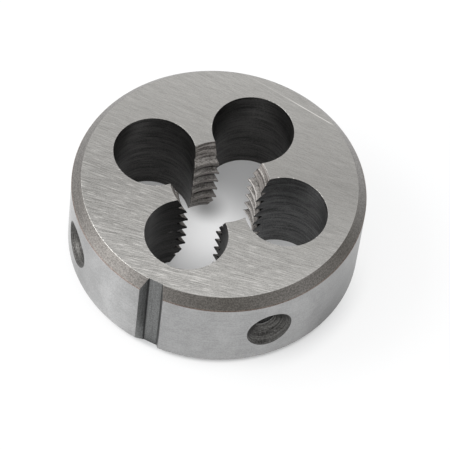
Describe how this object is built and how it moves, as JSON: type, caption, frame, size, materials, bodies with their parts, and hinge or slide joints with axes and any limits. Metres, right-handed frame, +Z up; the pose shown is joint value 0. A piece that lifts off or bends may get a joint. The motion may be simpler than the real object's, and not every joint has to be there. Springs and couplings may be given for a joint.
{
  "type": "round threading die",
  "caption": "Round threading die: a thick steel disc with a threaded bore cut into lands by round chip holes, a groove and countersunk dimples in its rim, and chamfered edges.",
  "frame": {"origin": "the middle of the bottom face, on the thread's axis", "axes": "+Z up along the thread's axis, -Y towards the groove in the rim, +X to the right of the groove"},
  "size_m": [0.038, 0.0379, 0.014],
  "materials": {
    "die_body": "ground faces with a straight grain, satin rim, darker chamfers and near-black drilled holes"
  },
  "bodies": {
    "root": {"die_body": "die_body"}
  },
  "joints": []
}
